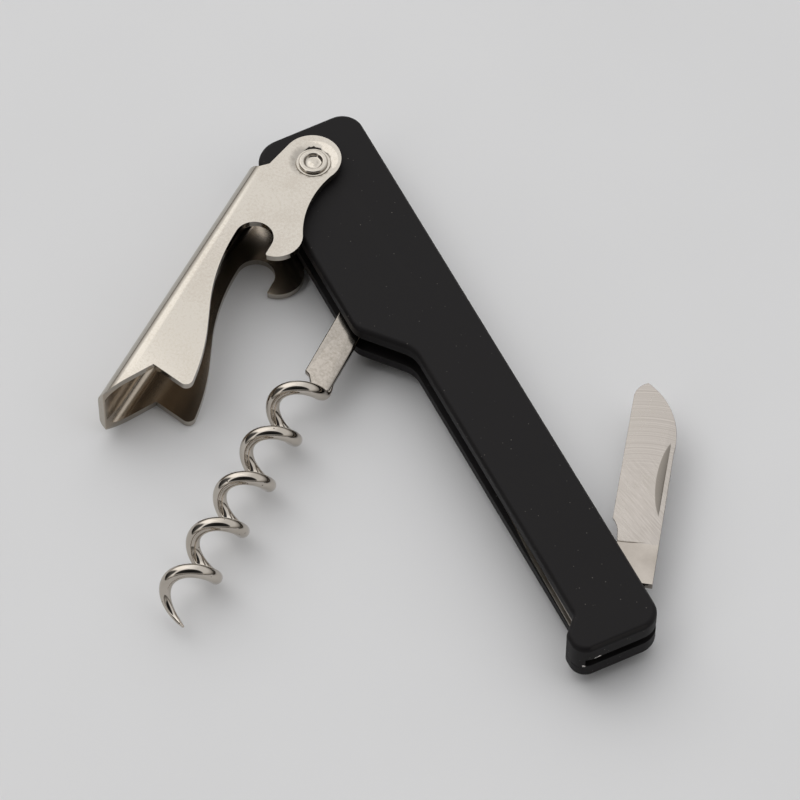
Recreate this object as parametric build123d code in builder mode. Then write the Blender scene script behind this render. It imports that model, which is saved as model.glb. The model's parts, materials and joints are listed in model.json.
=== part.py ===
from build123d import *
import os
from math import cos, radians, sin

# Lever corkscrew (waiter's friend): a two-half black handle on steel liners that carries a
# folding lever, a folding worm and a folding knife. Millimetres, +Z up, lying on its side.
# +X runs along the handle from the lever towards the foot, +Y towards the knife's side.
# Every sub-part is drawn from the axis it turns about; the lever's axis is the body's datum.

os.makedirs("parts", exist_ok=True)

# ---------------------------------------------------------------- driving dimensions
# where the lever's axis stands, seen from the middle of the unfolded tool's footprint
datum_x = -48.83
datum_y = 12.64

# the stack of layers, from the face that lies on the table upwards
lever_width = 12.0
lever_sheet = 1.2
handle_thickness = 8.0
slot_gap = 3.0
edge_slot_gap = 1.6
liner_sheet = 0.6
middle = lever_width / 2
handle_low = middle - handle_thickness / 2
handle_high = middle + handle_thickness / 2
slot_low = middle - slot_gap / 2
slot_high = middle + slot_gap / 2
channel_low = slot_low + liner_sheet
channel_high = slot_high - liner_sheet

# the handle's outline, corner by corner, with the radius of each corner
head_end = -8.85
foot_end = 106.4
back_edge = 11.55
head_side = -8.2
grip_side = -1.2
foot_side = -4.0
handle_corners = [
    (head_end, back_edge),
    (foot_end, back_edge),
    (foot_end, foot_side),
    (102.0, foot_side),
    (99.2, grip_side),
    (41.6, grip_side),
    (33.3, head_side),
    (head_end + 0.6, head_side),
]
handle_radii = [3.8, 3.8, 2.7, 1.6, 1.6, 5.0, 4.0, 5.0]
handle_edge_radius = 0.9
rim = 1.3
rim_from = 0.15
foot_rim_from = -2.7
foot_rim_start = foot_end - 1.4
closed_back_end = 50.0
foot_web = [(99.0, -6.0), (foot_end + 1, -6.0), (foot_end + 1, -2.6), (103.4, -2.2), (99.0, -3.0)]
peg_radius = 1.0
peg_places = [(10.0, 7.4), (42.0, 8.0), (102.2, 1.4)]

# liners follow the handle a little inside its edge, and come up to it beside the foot
liner_corners = [
    (head_end + 2.2, back_edge - 1.5),
    (foot_end - 1.6, back_edge - 1.5),
    (foot_end - 1.6, -1.15),
    (99.0, -1.15),
    (84.0, -0.9),
    (60.0, 0.6),
    (41.2, 1.2),
    (30.8, -7.1),
    (head_end + 2.2, -7.1),
]
liner_radii = [3.4, 3.4, 0.5, 0.5, 3.0, 3.0, 3.0, 1.5, 4.0]

# the hinges
lever_angle = -52.8
worm_angle = -50.9
knife_angle = 144.6
worm_axis = (27.5, -4.3)
knife_axis = (95.4, 8.0)
pin_radius = 1.25
pin_clearance = 0.05
washer_radius = 2.2
face_clearance = 0.02

# the spring bar between worm and knife
spring_pin_places = [(52.0, 3.8), (68.0, 3.8)]
spring_pin_radius = 1.0
spring_corners = [
    (25.6, 0.6),
    (25.6, -1.2),
    (33.0, -1.2),
    (41.0, 2.0),
    (84.0, 2.0),
    (96.2, 1.0),
    (96.2, 3.8),
    (76.0, 5.4),
    (44.0, 5.4),
    (33.0, 0.6),
]

# the lever's hinge
rivet_radius = 1.7
rivet_head_radius = 2.5
rivet_hollow_radius = 1.5
rivet_hollow_depth = 1.2
rivet_below_face = 0.05
bush_radius = 2.5
bush_bore = rivet_radius + pin_clearance
lever_washer_sheet = 0.2
lever_washer_radius = 3.2

# the lever: a U of sheet, drawn flat on its ear from the hinge, x along its spine
spine_outside = -9.82
spine_bend = 3.4
spine_start = 5.0
spine_end = 58.0
channel_depth = 30.0
dish_depth = 0.55
dish_steps = [(4.5, 3.3, 0.0, 0.25), (3.3, 2.9, 0.25, dish_depth)]
mouth_centre = (18.95, -1.35)
mouth_radius = 3.3
hook_centre = (16.9, 1.85)
hook_radius = 4.4
ear_head_centre = (-0.3, -0.4)
ear_head_radius = 4.98

# the worm, from its hinge, x along the tang
tang_sheet = 1.2
tang_width = 5.4
tang_offset = -0.15
tang_length = 17.7
wire_radius = 1.15
coil_radius = 3.2
coil_pitch = 9.9
coil_offset = -1.7
coil_zero = 28.6
coil_first_turn = -345
coil_last_turn = 1388
coil_taper_from = 1215
point_radius = 0.2
point_forward = 0.9

# the knife, from its hinge, x towards its tip and y towards its cutting edge
blade_sheet = 1.3
knife_tang_radius = 4.0
edge_side = 1.96
spine_side = -6.2
edge_thickness = 0.24
grind_start = 9.0
grind_length = 40.0
spine_band = 1.6
nick_from = 14.0
nick_to = 29.6
nick_depth = 0.45
nick_reach = 1.75
nick_from_spine = 0.75


# ---------------------------------------------------------------- datum planes
def turned(origin, angle):
    """A level plane through a hinge, with its x along the part that swings there."""
    along = (cos(radians(angle)), sin(radians(angle)), 0)
    return Plane(origin=(datum_x + origin[0], datum_y + origin[1], 0), x_dir=along, z_dir=(0, 0, 1))


def on_circle(centre, radius, angle):
    """The point of a circle at an angle in degrees."""
    return (centre[0] + radius * cos(radians(angle)), centre[1] + radius * sin(radians(angle)))


body_plane = turned((0, 0), 0)
lever_plane = turned((0, 0), lever_angle)
worm_plane = turned(worm_axis, worm_angle)
knife_plane = turned(knife_axis, knife_angle)


def handle_shape(height, inset=0.0):
    """The handle's outline at a height, or a smaller one inside it."""
    with BuildSketch(body_plane.offset(height)) as shape:
        with BuildLine():
            FilletPolyline(*handle_corners, radius=handle_radii, close=True)
        make_face()
        if inset:
            offset(amount=-inset)
    return shape.sketch


def rim_shape(height, x_from, x_to, y_from):
    """The strip just inside the handle's edge, between x_from and x_to and above y_from."""
    with BuildSketch(body_plane.offset(height)) as shape:
        with BuildLine():
            FilletPolyline(*handle_corners, radius=handle_radii, close=True)
        make_face()
        offset(amount=-rim, mode=Mode.SUBTRACT)
        with Locations(((x_from + x_to) / 2, (y_from + back_edge) / 2)):
            Rectangle(x_to - x_from, back_edge - y_from, mode=Mode.INTERSECT)
    return shape.sketch


def foot_web_shape(height):
    """The solid corner at the foot, on the worm's side."""
    with BuildSketch(body_plane.offset(height)) as shape:
        with BuildLine():
            FilletPolyline(*handle_corners, radius=handle_radii, close=True)
        make_face()
        Polygon(*foot_web, align=None, mode=Mode.INTERSECT)
    return shape.sketch


# ---------------------------------------------------------------- handle halves
# Each half is a moulding with a rounded outer edge. A rim along the back and the foot's end
# narrows the slot to little more than the blade, and closes it from the head to closed_back_end.
blade_slot_top = middle + edge_slot_gap / 2
edge_rim_height = (slot_gap - edge_slot_gap) / 2

with BuildPart(body_plane) as scale_top:
    extrude(handle_shape(slot_high), amount=handle_high - slot_high)
    fillet(scale_top.faces().sort_by(Axis.Z)[-1].edges(), radius=handle_edge_radius)
    extrude(rim_shape(blade_slot_top, closed_back_end, foot_end, rim_from), amount=edge_rim_height)
    extrude(rim_shape(blade_slot_top, foot_rim_start, foot_end, foot_rim_from), amount=edge_rim_height)
    extrude(rim_shape(middle, head_end, closed_back_end, rim_from), amount=slot_high - middle)
    extrude(foot_web_shape(slot_low), amount=slot_gap)
    with Locations(*[(x, y, channel_high) for x, y in peg_places]):
        Cylinder(peg_radius, liner_sheet, align=(Align.CENTER, Align.CENTER, Align.MIN))
    with Locations((0, 0, middle)):
        Cylinder(bush_radius, lever_width, mode=Mode.SUBTRACT)
scale_top.part.label = "scale_top"
export_step(scale_top.part, "parts/scale_top.step")

with BuildPart(body_plane) as scale_bottom:
    extrude(handle_shape(handle_low), amount=slot_low - handle_low)
    fillet(scale_bottom.faces().sort_by(Axis.Z)[0].edges(), radius=handle_edge_radius)
    extrude(rim_shape(slot_low, closed_back_end, foot_end, rim_from), amount=edge_rim_height)
    extrude(rim_shape(slot_low, foot_rim_start, foot_end, foot_rim_from), amount=edge_rim_height)
    extrude(rim_shape(slot_low, head_end, closed_back_end, rim_from), amount=middle - slot_low)
    with Locations(*[(x, y, slot_low) for x, y in peg_places]):
        Cylinder(peg_radius, liner_sheet, align=(Align.CENTER, Align.CENTER, Align.MIN))
    with Locations((0, 0, middle)):
        Cylinder(bush_radius, lever_width, mode=Mode.SUBTRACT)
scale_bottom.part.label = "scale_bottom"
export_step(scale_bottom.part, "parts/scale_bottom.step")

# ---------------------------------------------------------------- liners
# Two steel plates carry every hinge pin; the mouldings' pegs locate them.
for name, height in [("liner_top", channel_high), ("liner_bottom", slot_low)]:
    with BuildPart(body_plane) as liner:
        with BuildSketch(body_plane.offset(height)):
            with BuildLine():
                FilletPolyline(*liner_corners, radius=liner_radii, close=True)
            make_face()
            with Locations((0, 0)):
                Circle(bush_radius, mode=Mode.SUBTRACT)
            with Locations(worm_axis, knife_axis):
                Circle(pin_radius, mode=Mode.SUBTRACT)
            with Locations(*spring_pin_places):
                Circle(spring_pin_radius, mode=Mode.SUBTRACT)
            with Locations(*peg_places):
                Circle(peg_radius, mode=Mode.SUBTRACT)
        extrude(amount=liner_sheet)
    liner.part.label = name
    export_step(liner.part, f"parts/{name}.step")

# ---------------------------------------------------------------- hinge pins of worm and knife
# Plain pins, their ends flush with the liners' outer faces under the mouldings.
for name, place in [("worm_pin", worm_axis), ("knife_pin", knife_axis)]:
    with BuildPart(body_plane) as pin:
        with Locations((*place, middle)):
            Cylinder(pin_radius, slot_gap)
        chamfer(pin.edges(), length=0.15)
    pin.part.label = name
    export_step(pin.part, f"parts/{name}.step")

# ---------------------------------------------------------------- thrust washers
# A washer each side keeps worm and blade in the middle of the channel.
channel_gap = channel_high - channel_low
worm_washer_sheet = (channel_gap - tang_sheet) / 2 - face_clearance
knife_washer_sheet = (channel_gap - blade_sheet) / 2 - face_clearance
washers = [
    ("worm_washer_top", worm_axis, channel_high - worm_washer_sheet, worm_washer_sheet),
    ("worm_washer_bottom", worm_axis, channel_low, worm_washer_sheet),
    ("knife_washer_top", knife_axis, channel_high - knife_washer_sheet, knife_washer_sheet),
    ("knife_washer_bottom", knife_axis, channel_low, knife_washer_sheet),
]
for name, place, height, sheet in washers:
    with BuildPart(body_plane) as washer:
        with BuildSketch(body_plane.offset(height)):
            with Locations(place):
                Circle(washer_radius)
                Circle(pin_radius, mode=Mode.SUBTRACT)
        extrude(amount=sheet)
    washer.part.label = name
    export_step(washer.part, f"parts/{name}.step")

# ---------------------------------------------------------------- back spring and its pins
# The bar is held in its middle by two pins. One end leans on the worm's tang, the other on
# the knife's, and that end is also what the opened blade's shoulder comes to rest against.
with BuildPart(body_plane) as back_spring:
    with BuildSketch(body_plane.offset(channel_low)):
        with BuildLine():
            Polyline(*spring_corners, close=True)
        make_face()
        with Locations(*spring_pin_places):
            Circle(spring_pin_radius, mode=Mode.SUBTRACT)
    extrude(amount=channel_gap)
back_spring.part.label = "back_spring"
export_step(back_spring.part, "parts/back_spring.step")

with BuildPart(body_plane) as spring_pins:
    with Locations(*[(x, y, middle) for x, y in spring_pin_places]):
        Cylinder(spring_pin_radius, slot_gap)
    chamfer(spring_pins.edges(), length=0.12)
spring_pins.part.label = "spring_pins"
export_step(spring_pins.part, "parts/spring_pins.step")

# ---------------------------------------------------------------- the lever's hinge
with BuildPart(body_plane) as lever_bush:
    with Locations((0, 0, middle)):
        Cylinder(bush_radius, handle_thickness)
        Cylinder(bush_bore, handle_thickness, mode=Mode.SUBTRACT)
lever_bush.part.label = "lever_bush"
export_step(lever_bush.part, "parts/lever_bush.step")

lever_washer_heights = [
    ("lever_washer_top", handle_high),
    ("lever_washer_bottom", handle_low - lever_washer_sheet),
]
for name, height in lever_washer_heights:
    with BuildPart(body_plane) as lever_washer:
        with BuildSketch(body_plane.offset(height)):
            Circle(lever_washer_radius)
            Circle(bush_bore, mode=Mode.SUBTRACT)
        extrude(amount=lever_washer_sheet)
    lever_washer.part.label = name
    export_step(lever_washer.part, f"parts/{name}.step")

# A tubular rivet: its shank is full in the middle, and both ends are rolled over in the
# lever's dishes, which leaves a ring round a shallow hollow.
rivet_half = lever_width / 2 - rivet_below_face
head_low = lever_width / 2 - dish_depth
ring_round = (rivet_half - head_low) / 2
with BuildPart(body_plane) as lever_rivet:
    with BuildSketch(Plane(origin=body_plane.origin, x_dir=(1, 0, 0), z_dir=(0, -1, 0))):
        with BuildLine():
            Polyline(
                (0, middle),
                (rivet_radius, middle),
                (rivet_radius, middle + head_low),
                (rivet_head_radius - ring_round, middle + head_low),
            )
            ThreePointArc(
                (rivet_head_radius - ring_round, middle + head_low),
                (rivet_head_radius, middle + head_low + ring_round),
                (rivet_head_radius - ring_round, middle + rivet_half),
            )
            Polyline(
                (rivet_head_radius - ring_round, middle + rivet_half),
                (rivet_hollow_radius + 0.2, middle + rivet_half),
                (rivet_hollow_radius, middle + rivet_half - 0.2),
                (rivet_hollow_radius - 0.25, middle + rivet_half - rivet_hollow_depth + 0.3),
                (0, middle + rivet_half - rivet_hollow_depth),
                (0, middle),
            )
        make_face()
        mirror(about=Plane(origin=(0, middle, 0), z_dir=(0, 1, 0)))
    revolve(axis=Axis(body_plane.origin, (0, 0, 1)))
lever_rivet.part.label = "lever_rivet"
export_step(lever_rivet.part, "parts/lever_rivet.step")

# ---------------------------------------------------------------- lever
# One blank is cut to the ears' outline and folded round its spine: both ears are alike.
# The ear has the hinge's head, the crown-cap hook and its mouth, and a notched end that
# stands on the bottle's lip.
head_joint = on_circle(ear_head_centre, ear_head_radius, 66)
head_back = on_circle(ear_head_centre, ear_head_radius, 258)
hook_joint = on_circle(hook_centre, hook_radius, 123)
hook_tip = on_circle(hook_centre, hook_radius, 5)
mouth_foot = (mouth_centre[0], mouth_centre[1] - mouth_radius)
mouth_top = on_circle(mouth_centre, mouth_radius, 96)
with BuildPart(lever_plane) as lever:
    with BuildSketch(lever_plane):
        with BuildLine():
            Polyline(
                head_back,
                (3.9, -6.3),
                (4.4, -6.8),
                (spine_start, -7.6),
                (spine_start, spine_outside),
                (spine_end, spine_outside),
                (spine_end, -8.75),
                (49.4, -3.95),
                (50.75, 2.1),
            )
            ThreePointArc((50.75, 2.1), (50.35, 3.1), (49.3, 3.38))
            ThreePointArc((49.3, 3.38), (43.6, 2.13), (38.0, 0.1))
            Line((38.0, 0.1), (33.4, -1.88))
            ThreePointArc((33.4, -1.88), (26.3, -3.95), mouth_foot)
            ThreePointArc(mouth_foot, (mouth_centre[0] - mouth_radius, mouth_centre[1]), mouth_top)
            Line(mouth_top, (20.9, 2.0))
            ThreePointArc((20.9, 2.0), (21.15, 2.05), hook_tip)
            ThreePointArc(hook_tip, on_circle(hook_centre, hook_radius, 66), hook_joint)
            ThreePointArc(hook_joint, (7.0, 3.52), head_joint)
            ThreePointArc(head_joint, on_circle(ear_head_centre, ear_head_radius, 160), head_back)
        make_face()
    extrude(amount=lever_width)
    spine_edges = lever.faces().sort_by(lever_plane.location.y_axis)[0].edges()
    fillet(spine_edges.filter_by(lever_plane.location.x_axis), radius=spine_bend)
    across_spine = Plane(origin=lever_plane.origin, x_dir=lever_plane.y_dir, z_dir=lever_plane.x_dir)
    with BuildSketch(across_spine) as channel:
        with Locations((spine_outside + lever_sheet + channel_depth / 2, middle)):
            Rectangle(channel_depth, lever_width - 2 * lever_sheet)
        fillet(channel.vertices().sort_by(Axis.X)[:2], radius=spine_bend - lever_sheet)
    extrude(amount=2 * spine_end, both=True, mode=Mode.SUBTRACT)
    # each ear is dished round the rivet: hollow outside, and standing proud by as much inside
    for wide, narrow, depth_from, depth_to in dish_steps:
        step_middle = (depth_from + depth_to) / 2
        for side in (1, -1):
            low_radius = narrow if side > 0 else wide
            high_radius = wide if side > 0 else narrow
            with Locations((0, 0, middle + side * (lever_width / 2 - step_middle))):
                Cone(low_radius, high_radius, depth_to - depth_from, mode=Mode.SUBTRACT)
            with Locations((0, 0, middle + side * (lever_width / 2 - lever_sheet - step_middle))):
                Cone(low_radius, high_radius, depth_to - depth_from)
    with Locations((0, 0, middle)):
        Cylinder(rivet_radius, lever_width, mode=Mode.SUBTRACT)
lever.part.label = "lever"
export_step(lever.part, "parts/lever.step")

# ---------------------------------------------------------------- worm
# One piece of wire: flattened to a tang with an eye for its pin, then coiled to the right
# and drawn to a point over its last half turn.
def coil(first, last):
    """The wire's middle line between two angles, counted from the side away from the lever."""
    turn = radians(first)
    outwards = worm_plane.y_dir * cos(turn) + worm_plane.z_dir * sin(turn)
    start = worm_plane.from_local_coords(
        Vector(coil_zero + coil_pitch * first / 360, coil_offset, middle)
    )
    with BuildLine() as line:
        Helix(coil_pitch, coil_pitch * (last - first) / 360, coil_radius)
    return Plane(origin=start, x_dir=outwards, z_dir=worm_plane.x_dir).from_local_coords(line.line)


coil_turns = coil(coil_first_turn, coil_taper_from)
with BuildPart() as coil_body:
    with BuildSketch(Plane(origin=coil_turns @ 0, z_dir=coil_turns % 0)):
        Circle(wire_radius)
    sweep(path=coil_turns, is_frenet=True)

point_turn = coil(coil_taper_from, coil_last_turn)
with BuildPart() as coil_tip:
    with BuildSketch(Plane(origin=point_turn @ 0, z_dir=point_turn % 0)):
        Circle(wire_radius)
    point_place = point_turn @ 1 + worm_plane.x_dir * point_forward
    with BuildSketch(Plane(origin=point_place, z_dir=point_turn % 1)):
        Circle(point_radius)
    sweep(path=point_turn, is_frenet=True, multisection=True)

tang_near = tang_offset + tang_width / 2
tang_far = tang_offset - tang_width / 2
with BuildPart() as worm:
    with BuildSketch(worm_plane.offset(middle - tang_sheet / 2)):
        with BuildLine():
            ThreePointArc((0, tang_near), (-tang_width / 2, tang_offset), (0, tang_far))
            Polyline(
                (0, tang_far),
                (15.8, tang_far),
                (16.2, -1.92),
                (tang_length - 0.2, -1.04),
                (tang_length + 0.7, -0.3),
                (tang_length + 0.9, 1.6),
                (tang_length + 0.2, tang_near),
                (0, tang_near),
            )
        make_face()
        Circle(pin_radius + pin_clearance, mode=Mode.SUBTRACT)
    extrude(amount=tang_sheet)
    with Locations(coil_turns @ 0):
        Sphere(wire_radius)
    add(coil_body.part)
    add(coil_tip.part)
worm.part.label = "worm"
export_step(worm.part, "parts/worm.step")

# ---------------------------------------------------------------- knife
# A short sheepsfoot blade. Both sides are ground flat from the spine to the edge, the
# spine's corner by the hinge is its stop, and a nail nick is milled in its upper side.
blade_low = middle - blade_sheet / 2
blade_high = middle + blade_sheet / 2
with BuildPart() as knife:
    with BuildSketch(knife_plane.offset(blade_low)):
        with BuildLine():
            Line((8.8, 0.6), (11.2, 0.85))
            ThreePointArc((11.2, 0.85), (12.5, 1.35), (13.4, edge_side))
            Line((13.4, edge_side), (37.8, edge_side - 0.1))
            ThreePointArc((37.8, edge_side - 0.1), (39.62, 1.3), (40.8, -0.2))
            ThreePointArc((40.8, -0.2), (36.0, -4.5), (27.4, spine_side))
            Polyline((27.4, spine_side), (1.3, spine_side), (1.3, 0), (8.8, 0.6))
        make_face()
        Circle(knife_tang_radius)
        with Locations((4.4, -1.2)):
            Rectangle(8.8, 3.6)
        Circle(pin_radius + pin_clearance, mode=Mode.SUBTRACT)
    extrude(amount=blade_sheet)
    for side in (1, -1):
        with BuildSketch(
            Plane(
                origin=knife_plane.from_local_coords(Vector(grind_start, 0, middle)),
                x_dir=knife_plane.y_dir,
                z_dir=knife_plane.x_dir,
            )
        ):
            Polygon(
                (spine_side + spine_band, side * blade_sheet / 2),
                (edge_side + 1, side * blade_sheet / 2),
                (edge_side + 1, side * edge_thickness / 2),
                (edge_side, side * edge_thickness / 2),
                align=None,
            )
        extrude(amount=grind_length, mode=Mode.SUBTRACT)
    # the nick is the path of a bevelled disc cutter that stands on edge over the blade
    nick_half = (nick_to - nick_from) / 2
    nick_sink = (nick_half**2 - nick_depth**2) / (2 * nick_depth)
    cutter_radius = nick_sink + nick_depth
    cutter_width = 2 * nick_reach
    cutter_place = Plane(
        origin=knife_plane.from_local_coords(
            Vector(nick_from + nick_half, spine_side + nick_from_spine, blade_high + nick_sink)
        ),
        x_dir=knife_plane.x_dir,
        z_dir=knife_plane.y_dir,
    )
    with Locations(cutter_place.location):
        Cone(
            cutter_radius,
            cutter_radius - 2 * nick_depth,
            cutter_width,
            align=(Align.CENTER, Align.CENTER, Align.MIN),
            mode=Mode.SUBTRACT,
        )
knife.part.label = "knife"
export_step(knife.part, "parts/knife.step")
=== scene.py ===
# %% [markdown]
# # A lever corkscrew, dressed for the studio
# The object is a folding corkscrew of the kind that waiters carry: a black handle of two
# moulded halves on steel liners, a nickel-plated lever folded from one sheet, a wire worm and
# a small ground knife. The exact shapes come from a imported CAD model, which is loaded first
# and is never moved. Everything after that is about how the pieces look: rounder edges, a
# properly drawn worm and rivet, and a material for each way that a surface was made.

# %% Load the frame
import json
from math import cos, pi, radians, sin

import bmesh
import bpy
import numpy as np
from mathutils import Matrix, Vector

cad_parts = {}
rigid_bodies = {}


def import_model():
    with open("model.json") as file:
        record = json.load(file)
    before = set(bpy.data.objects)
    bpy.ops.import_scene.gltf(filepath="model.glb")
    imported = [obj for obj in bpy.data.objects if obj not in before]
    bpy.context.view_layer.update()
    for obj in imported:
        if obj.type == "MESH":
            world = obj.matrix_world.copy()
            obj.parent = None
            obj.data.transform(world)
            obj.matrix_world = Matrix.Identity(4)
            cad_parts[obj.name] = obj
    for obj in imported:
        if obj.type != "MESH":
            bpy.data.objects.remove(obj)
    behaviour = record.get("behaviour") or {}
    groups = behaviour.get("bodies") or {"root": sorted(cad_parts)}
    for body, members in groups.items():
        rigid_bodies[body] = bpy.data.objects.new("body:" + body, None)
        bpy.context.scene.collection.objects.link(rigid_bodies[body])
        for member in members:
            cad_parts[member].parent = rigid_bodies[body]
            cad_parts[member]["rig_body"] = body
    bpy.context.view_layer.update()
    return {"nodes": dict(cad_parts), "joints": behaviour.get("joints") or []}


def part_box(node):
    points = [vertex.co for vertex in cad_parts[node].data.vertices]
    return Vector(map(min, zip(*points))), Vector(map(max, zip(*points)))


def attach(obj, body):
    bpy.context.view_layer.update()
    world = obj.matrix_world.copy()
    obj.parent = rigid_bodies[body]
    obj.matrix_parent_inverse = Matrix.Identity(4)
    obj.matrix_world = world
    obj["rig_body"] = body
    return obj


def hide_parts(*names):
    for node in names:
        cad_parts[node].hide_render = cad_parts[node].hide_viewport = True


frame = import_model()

mm = 0.001
hinges = {joint["name"]: Vector(joint["pos_m"]) for joint in frame["joints"]}
print("nodes:", len(frame["nodes"]), "hinges:", sorted(hinges))

# %% [markdown]
# ## Small helpers for materials
# Colours are easiest to pick as the hex numbers that a paint chart uses, and those are sRGB.
# The shader works in linear light, so one function turns the one into the other. Another adds
# a node, sets its choices and joins its inputs in one call, which keeps each material short
# enough to read from top to bottom. A Mix node has a pair of inputs for each kind of data:
# inputs 2 and 3 mix plain values to output 0, and inputs 6 and 7 mix colours to output 2.


# %% Colour and node helpers
def linear(hex_colour):
    """An sRGB hex colour as linear RGBA.

    A channel up to 0.04045 is divided by 12.92. Above that, 0.055 is added, and the sum is
    divided by 1.055 and raised to the power 2.4.
    """
    srgb = np.array([int(hex_colour[i : i + 2], 16) for i in (1, 3, 5)]) / 255
    light = np.where(srgb <= 0.04045, srgb / 12.92, ((srgb + 0.055) / 1.055) ** 2.4)
    return (*light.tolist(), 1.0)


def grey(level):
    """A neutral colour of this much linear light."""
    return (level, level, level, 1.0)


def feed(tree, node, **inputs):
    """Links sockets and sets values on a node's inputs, by name, or by number as in_0, in_1."""
    for key, value in inputs.items():
        name = key.replace("_", " ")
        socket = node.inputs[int(name[3:])] if name.startswith("in ") else node.inputs[name]
        if isinstance(value, bpy.types.NodeSocket):
            tree.links.new(value, socket)
        else:
            socket.default_value = value
    return node


def put(tree, kind, settings=None, stops=(), **inputs):
    """Adds a shader node: its kind, own choices, a ramp's (place, colour) stops, and inputs."""
    node = tree.nodes.new("ShaderNode" + kind)
    for key, value in (settings or {}).items():
        setattr(node, key, value)
    if stops:
        marks = node.color_ramp.elements
        while len(marks) < len(stops):
            marks.new(0.5)
        for mark, (place, colour) in zip(marks, stops):
            mark.position = place
            mark.color = colour
    return feed(tree, node, **inputs)


# Choices that several materials make.
times = {"operation": "MULTIPLY"}
times_plus = {"operation": "MULTIPLY_ADD"}
minus = {"operation": "SUBTRACT"}
less_than = {"operation": "LESS_THAN"}
more_than = {"operation": "GREATER_THAN"}
dot = {"operation": "DOT_PRODUCT"}
distance = {"operation": "DISTANCE"}
of_numbers = {"data_type": "FLOAT"}
of_colours = {"data_type": "RGBA"}
eased = {"interpolation_type": "SMOOTHSTEP"}


def new_material(name):
    """An empty material with a Principled surface, and the piece's own coordinates in metres."""
    material = bpy.data.materials.new(name)
    material.use_nodes = True
    tree = material.node_tree
    place = put(tree, "TexCoord").outputs["Object"]
    print("material", name)
    return material, tree, tree.nodes["Principled BSDF"], place


def per_metre(size_in_mm):
    """How many times a pattern of this real size repeats in a metre."""
    return 1 / (size_in_mm * mm)


# %% [markdown]
# ## The lever's channel
# The lever is folded like a gutter: two ears joined by a spine. Plating reaches its inner
# faces, but polishing doesn't, so they are duller and a little browner. They could be given a
# material of their own, but then the mesh would need a list of its inner faces. It is simpler
# to say where they are: between the ears, and short of the outer face of the spine.

# %% Limits of the channel, in millimetres from the lever's hinge
# Both limits lie in the thickness of the sheet, just past its inner faces at -8.62 and 4.8.
lever_turn = radians(-52.8)
spine_limit = -8.85
ear_limit = 4.87


def inside_channel(tree, place):
    """1 on the lever's inner faces, 0 elsewhere.

    Across the lever they lie this side of the spine's limit, and up or down they are nearer
    than the ears' limit. The mask is the product of the two tests.
    """
    across_lever = Vector((-sin(lever_turn), cos(lever_turn), 0))
    hinge = hinges["lever_hinge"]
    from_hinge = put(tree, "VectorMath", minus, in_0=place, in_1=hinge).outputs[0]
    aside = put(tree, "VectorMath", dot, in_0=from_hinge, in_1=across_lever).outputs["Value"]
    off_spine = put(tree, "Math", more_than, in_0=aside, in_1=spine_limit * mm).outputs[0]
    raised = put(tree, "SeparateXYZ", Vector=from_hinge).outputs["Z"]
    either_way = put(tree, "Math", {"operation": "ABSOLUTE"}, in_0=raised).outputs[0]
    between_ears = put(tree, "Math", less_than, in_0=either_way, in_1=ear_limit * mm).outputs[0]
    return put(tree, "Math", times, in_0=off_spine, in_1=between_ears).outputs[0]


# %% [markdown]
# ## Nickel plate on pressed steel
# The lever and the rivet are pressed from steel, polished in a tumbler and nickel plated.
# Nickel is a warm grey metal, a little yellower than chrome. Tumbling leaves it bright but not
# quite flat, so reflections wander slightly, and handling adds dull patches and fine marks. A
# single roughness would look like plastic film; three noises of different real sizes are used
# instead: clouds about 9 mm across for handling, grains of 0.5 mm for the plate, and hairline
# scratches. One function makes three grades: the lever, the slightly brighter rivet, and the
# worm's tang, which is darker and duller because the wire was hammered flat before plating.

# %% Nickel plate, sizes in millimetres
cloud_size = 9
grain_size = 0.5
scratch_size = 2.2
scratch_turn = radians(37)
scratch_squeeze = 14
channel_tone = "#b8ad9f"
channel_roughness = 0.2


def nickel_plate(name, tone, stained, roughness, scratch, channel=False):
    """Warm bright metal, stained where the clouds times the grains come out low.

    Its colour goes from stained to tone, and its roughness from 0.07 above the one given to
    0.02 below it. Scratch is how strong the hairlines are. A channel gets a duller lining.
    """
    material, tree, surface, place = new_material(name)
    clouds = put(
        tree, "TexNoise", Vector=place, Scale=per_metre(cloud_size), Detail=4.0, Roughness=0.6
    ).outputs["Fac"]
    grains = put(
        tree, "TexNoise", Vector=place, Scale=per_metre(grain_size), Detail=3.0, Roughness=0.65
    ).outputs["Fac"]
    squeezed = put(
        tree, "Mapping", Vector=place, Rotation=(0, 0, scratch_turn), Scale=(1, scratch_squeeze, 1)
    ).outputs["Vector"]
    hairlines = put(
        tree, "TexNoise", Vector=squeezed, Scale=per_metre(scratch_size), Detail=5.0, Roughness=0.7
    ).outputs["Fac"]
    clean = put(tree, "Math", times, in_0=clouds, in_1=grains).outputs["Value"]
    tones = [(0.14, linear(stained)), (0.3, linear(tone))]
    colour = put(tree, "ValToRGB", stops=tones, Fac=clean).outputs["Color"]
    gloss = put(
        tree,
        "MapRange",
        Value=clean,
        From_Min=0.12,
        From_Max=0.42,
        To_Min=roughness + 0.07,
        To_Max=roughness - 0.02,
    ).outputs["Result"]
    if channel:
        inside = inside_channel(tree, place)
        colour = put(
            tree, "Mix", of_colours, Factor=inside, in_6=colour, in_7=linear(channel_tone)
        ).outputs[2]
        gloss = put(
            tree, "Mix", of_numbers, Factor=inside, in_2=gloss, in_3=channel_roughness
        ).outputs[0]
    fine = put(
        tree, "Bump", Strength=scratch, Distance=0.01 * mm, Height=hairlines
    ).outputs["Normal"]
    broad = put(
        tree, "Bump", Strength=0.15, Distance=0.05 * mm, Height=clouds, Normal=fine
    ).outputs["Normal"]
    feed(tree, surface, Base_Color=colour, Roughness=gloss, Metallic=1.0, Normal=broad)
    return material


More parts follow.
